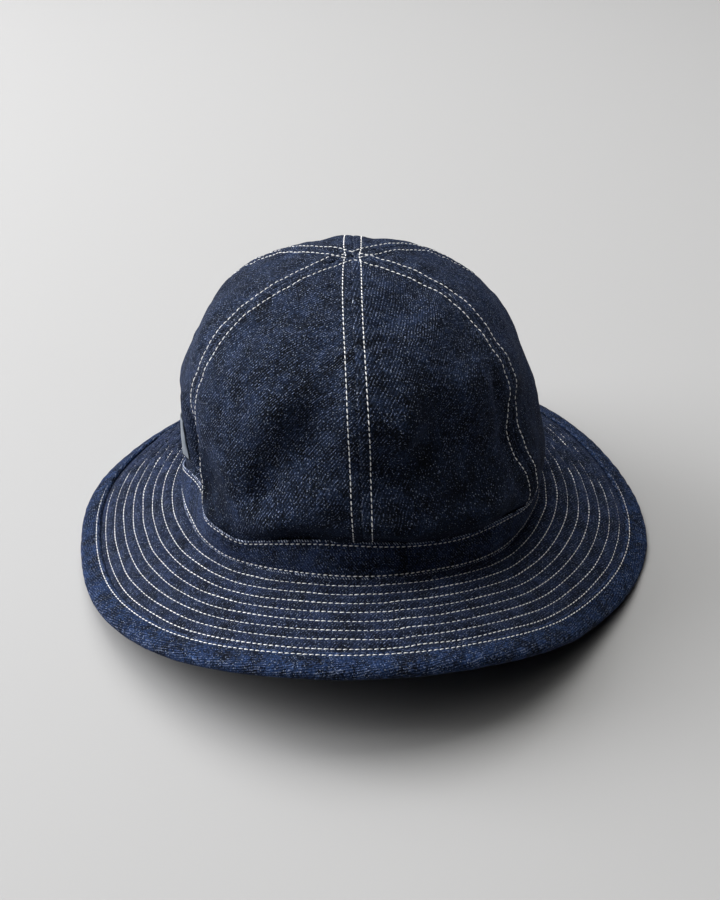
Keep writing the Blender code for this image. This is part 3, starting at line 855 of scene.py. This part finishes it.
def crown_base(up, around):
    """The crown without its seams: its radius, pushed as the band is, round an axis that leans as it rises.

    Its height goes from the band's edge to the hat's top with the sine of the angle up. An up below 0 counts
    millimetres down behind the band.
    """
    up, around = np.broadcast_arrays(up, around)
    own = np.radians(around - OVAL_TURN)
    turn = np.degrees(np.arctan2(np.sin(own) / OVAL_HALF_LENGTH, np.cos(own) / OVAL_HALF_WIDTH))
    raised = np.maximum(up, 0)
    rise = np.sin(np.radians(raised))
    push, drop = sag(turn)[:2]
    near = bell(raised / SAG_REACH)
    radius = crown_radius(up, around) + (push + BAND_OUT_TOP) * near - TUCK * bell(raised / TUCK_REACH)
    foot = band_foot(turn) + BAND_HEIGHT - drop * near
    height = foot * (1 - rise) + HAT_HEIGHT * rise + np.minimum(up, 0) / 1000
    x = radius * np.cos(np.radians(around)) + CROWN_LEAN[0] * OVAL_HALF_LENGTH * rise
    y = radius * np.sin(np.radians(around)) + CROWN_LEAN[1] * OVAL_HALF_LENGTH * rise
    return np.stack([x, y, height], -1) + axis_place


def seam_angle(number, up):
    """Angle round of a seam at a height: its own angle, and its stray as a length round the crown."""
    own = np.full_like(up, SEAM_ANGLES[number % 6]) - 360 * (number < 0)
    lies = natural_spline(SEAM_STRAY, np.clip(up, 0, 90))[..., number % 6] / 1000
    return own + np.degrees(lies / np.maximum(crown_radius(up, own), 0.004))


def waves(across, along, count, seed):
    """Uneven cloth: a sum of sine waves of seeded direction and phase, between about -1 and 1.

    across and along are counted in wavelengths, and the waves run within half an octave of that.
    """
    draw = np.random.default_rng(seed)
    angles = draw.uniform(0, np.pi, count)
    phases = draw.uniform(0, 2 * np.pi, count)
    scales = draw.uniform(0.7, 1.4, count)
    total = 0
    for angle, phase, scale in zip(angles, phases, scales):
        total = total + np.sin(2 * np.pi * scale * (across * np.cos(angle) + along * np.sin(angle)) + phase)
    return total / np.sqrt(count)


def seam_relief(distance, along, seed):
    """Lift of the cloth beside a seam, from distances across and along it in millimetres.

    The turned allowance is a low bank that ripples, the open seam a groove in it, and the stitches lie in a
    dip. The cloth beyond puckers.
    """
    bank, groove, dip, pucker, ripple = (
        height * bell((distance - middle) / spread, power) for middle, spread, height, power in SEAM_RELIEF
    )
    pucker = pucker * waves(along / 40, along / 11, 6, seed)
    ripple = ripple * waves(along / 7, along / 5.5, 5, seed + 50)
    return bank + groove + dip + pucker + ripple


def seam_length(number, up):
    """Millimetres along a seam from the band's upper edge."""
    fine = np.linspace(0, 90, 400)
    steps = np.linalg.norm(np.diff(crown_base(fine, seam_angle(number, fine)), axis=0), axis=1)
    return np.interp(up, fine, np.concatenate([[0], np.cumsum(steps)]) * 1000) + np.minimum(up, 0)


def gore_width(number, up):
    """Millimetres across a gore at a height, from seam to seam."""
    start, end = seam_angle(number - 1, up), seam_angle(number, up)
    return 1000 * np.radians(end - start) * crown_radius(up, (start + end) / 2)


def gore_lift(number, up, across):
    """Lift of a gore's cloth in millimetres: the relief of its two seams, and loose waves between them."""
    other = gore_width(number, up) - across
    along = seam_length(number, up)
    lift = seam_relief(across, seam_length(number - 1, up), 400 + (number - 1) % 6)
    lift = lift + seam_relief(other, along, 400 + number)
    loose = LOOSE * waves((across + 90 * number) / 34, along / 40, 7, 300 + number)
    loose = loose + RUMPLE * waves(across / 9, along / 9, 9, 320 + number)
    lift = lift + loose * np.clip(np.minimum(across, other) / 12, 0, 1)
    return lift * np.clip((90 - up) / 6, 0.15, 1)


def gore_around(number, up, across):
    """Angle round of a point of a gore: its share of the way from seam to seam."""
    start, end = seam_angle(number - 1, up), seam_angle(number, up)
    return start + (end - start) * across / gore_width(number, up)


def gore_face(number, up, across):
    """A point of a gore: its place on the plain crown, moved along the normal by the cloth's lift."""
    up, across = np.broadcast_arrays(up, across)
    point, normal = facing(crown_base, up, gore_around(number, up, across))
    return point + normal * gore_lift(number, up, across)[..., None] / 1000


def give_wall(piece, thickness):
    """Gives a surface a thickness, inwards from its face."""
    wall = piece.modifiers.new("Wall", "SOLIDIFY")
    wall.thickness = thickness
    wall.offset = -1


raw_denim = denim("raw_denim", "05080c", "1f2b44", dye=0.39, nap=0.12, wales=0.85)


def gore(name, number):
    """One crown panel. Its rows start behind the band, and its columns crowd at its seams."""
    heights = np.linspace(0, 1, GORE_ROWS) ** ROW_CROWDING * TIP_ANGLE
    up = np.concatenate([[-TAIL * 1000, -2.0], heights])[:, None]
    width = gore_width(number, up)
    close = np.array(SEAM_COLUMNS)
    left = close * np.minimum(1, width / 2 / (close[-1] * 1.15))
    inner = np.linspace(0, 1, MIDDLE_COLUMNS + 2)[1:-1]
    middle = left[:, -1:] + (width - 2 * left[:, -1:]) * inner
    across = np.concatenate([left, middle, width - left[:, ::-1]], 1)
    points = gore_face(number, up, across)
    at_start, at_end = seam_length(number - 1, up), seam_length(number, up)
    along = at_start + (at_end - at_start) * across / width
    pale, spread = SEAM_WORN
    worn = pale * bell(np.minimum(across, width - across) / spread)
    worn = worn * np.clip(0.6 + waves(along / 9, along / 14, 4, number), 0, 1)
    around = gore_around(number, up, across)
    for shade_around, wide, shade_up, high, shade_depth in PAINTED_SHADE:
        off, above = turned_from(around, shade_around) / wide, (up - shade_up) / high
        # Painted shade: worn goes below 0 in these places, which darkens the dye.
        worn = worn - shade_depth * bell(off, 4) * bell(above, 4)
    cloth = np.stack([across - width / 2, along], -1) / 1000
    panel = make_piece("crown_gore_" + name, points, cloth + 0.31 * number, worn, raw_denim)
    give_wall(panel, CROWN_WALL)
    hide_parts("crown_panel_" + name)


for number, name in enumerate(PANELS):
    gore(name, number)

SEAM_UP = np.linspace(0.6, 88.3, 1400)


def seam_row(number, side):
    """A stitch row beside a seam: on the gore after it where side is 1, and before it where it is -1."""
    on = number if side < 0 else (number + 1) % 6
    across = 1000 * SEAM_ROW * np.ones_like(SEAM_UP)
    if side < 0:
        across = gore_width(on, SEAM_UP) - across
    return facing(functools.partial(gore_face, on), SEAM_UP, across)


side_rows = [seam_row(number, side) for number in (0, 2, 3, 5) for side in (-1, 1)]
sew("crown_stitches_sides", side_rows, CROWN_STITCH, 0.3, 0.84)
centre_rows = []
for side in (-1, 1):
    front, back = seam_row(4, side), seam_row(1, -side)
    centre_rows.append([np.concatenate([before, after[::-1]]) for before, after in zip(front, back)])
sew("crown_stitches_centre", centre_rows, CROWN_STITCH, 0.3, 0.84)

# The label: a short piece of woven tape, laid flat on the crown's side close above the band. It is sewn
# down, but its stitches are not drawn.
LABEL_WIDTH = 0.030
LABEL_HEIGHT = 0.021
LABEL_ANGLE = 188.9
LABEL_LIFT = 4.0  # angle up of its lower edge
LABEL_PROUD = 0.0007  # its face above the cloth
LABEL_WALL = 0.0005
LABEL_GORE = PANELS.index("side_left")
LABEL_COLUMNS = 40
LABEL_ROWS = 28


def side_cloth(up, around):
    """A point of the cloth under the label, from its angles up and round the crown."""
    start, end = seam_angle(LABEL_GORE - 1, up), seam_angle(LABEL_GORE, up)
    return gore_face(LABEL_GORE, up, gore_width(LABEL_GORE, up) * (around - start) / (end - start))


half = np.degrees(LABEL_WIDTH / 2 / OVAL_HALF_WIDTH)
label_around = LABEL_ANGLE + half * np.linspace(-1, 1, LABEL_COLUMNS)[None]
crown_rise = HAT_HEIGHT - BAND_LIFT - BAND_HEIGHT
label_top = np.degrees(np.arcsin(np.sin(np.radians(LABEL_LIFT)) + LABEL_HEIGHT / crown_rise))
label_up = np.linspace(LABEL_LIFT, label_top, LABEL_ROWS)[:, None]
tape, tape_normal = facing(side_cloth, label_up, label_around)
tape_across = np.linspace(0, LABEL_WIDTH, LABEL_COLUMNS)[None]
tape_along = np.linspace(0, LABEL_HEIGHT, LABEL_ROWS)[:, None]
label_cloth = np.stack(np.broadcast_arrays(tape_across, tape_along), -1)
# Woven tape: dense pale satin in a plain rib, with a faint sheen. Its ribs are 0.9 mm apart, drawn coarse.
pale_grey = ("535d68", "717c89")
woven_tape = polyester("woven_tape", "Y", (0.0028, 0.3), pale_grey, (0.4, 0.0001), 0.6, 0.15)
label = make_piece("label_tape", tape + tape_normal * LABEL_PROUD, label_cloth, 0.0, woven_tape)
give_wall(label, LABEL_WALL)
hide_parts("side_label")

# The stage: a plain pale floor, five soft lights, most of them at the left and behind, a weak fill from all
# round, a plain wall where the camera looks past the floor, and the camera.
floor_mesh = bpy.data.meshes.new("floor")
floor_mesh.from_pydata([(-4, -4, 0), (4, -4, 0), (4, 4, 0), (-4, 4, 0)], [], [(0, 1, 2, 3)])
pale = bpy.data.materials.new("pale_plaster")  # matt to the eye
pale.use_nodes = True
pale_shader = pale.node_tree.nodes["Principled BSDF"]
pale_shader.inputs["Base Color"].default_value = linear("adadad")
pale_shader.inputs["Roughness"].default_value = 0.85
floor_mesh.materials.append(pale)
floor = add_object("floor", floor_mesh)


def soft_light(name, place, size, power, colour):
    """A square soft box that faces the middle of the hat."""
    light = bpy.data.lights.new(name, "AREA")
    light.size = size
    light.energy = power
    light.color = linear(colour)[:3]
    lamp = add_object(name, light)
    lamp.location = place
    toward = np.array((0, 0, 0.05)) - place
    flat = np.hypot(toward[0], toward[1])
    lamp.rotation_euler = (np.arctan2(flat, -toward[2]), 0, np.arctan2(toward[1], toward[0]) - np.pi / 2)


soft_light("window", (-2.1, 0.2, 1.2), 1.8, 66, "fdfdff")
soft_light("window_behind", (-1.5, 1.2, 1.6), 2.0, 27, "fdfdff")
soft_light("skylight", (-1.0, 0.2, 2.2), 2.0, 16, "fffefc")
soft_light("skylight_behind", (-0.2, 0.9, 2.2), 2.0, 37, "fffefc")
soft_light("skylight_front", (-0.6, -0.8, 2.3), 2.0, 10, "fffefc")
world = bpy.data.worlds.new("room")
world.use_nodes = True
world.node_tree.nodes.clear()
room = functools.partial(add_node, world.node_tree)
fill = room("ShaderNodeBackground", {"Color": linear("ece8e2"), "Strength": 0.01})
wall = room("ShaderNodeBackground", {"Color": linear("8a8a89")})
seen = room("ShaderNodeLightPath")
both = room("ShaderNodeMixShader", {0: seen.outputs["Is Camera Ray"], 1: fill, 2: wall})
room("ShaderNodeOutputWorld", {"Surface": both})
bpy.context.scene.world = world

CAMERA_PLACE = (0.0001, -0.6446, 0.4613)  # from the crown's axis
CAMERA_DOWN = 32.77  # degrees below the horizon
camera = bpy.data.cameras.new("camera")
camera.lens = 60.4
camera.sensor_width = 36
viewer = add_object("camera", camera)
viewer.location = np.array(CAMERA_PLACE) + axis_place
viewer.rotation_euler = (np.radians(90 - CAMERA_DOWN), 0, 0)
bpy.context.scene.camera = viewer
bpy.context.scene.view_settings.view_transform = "Standard"
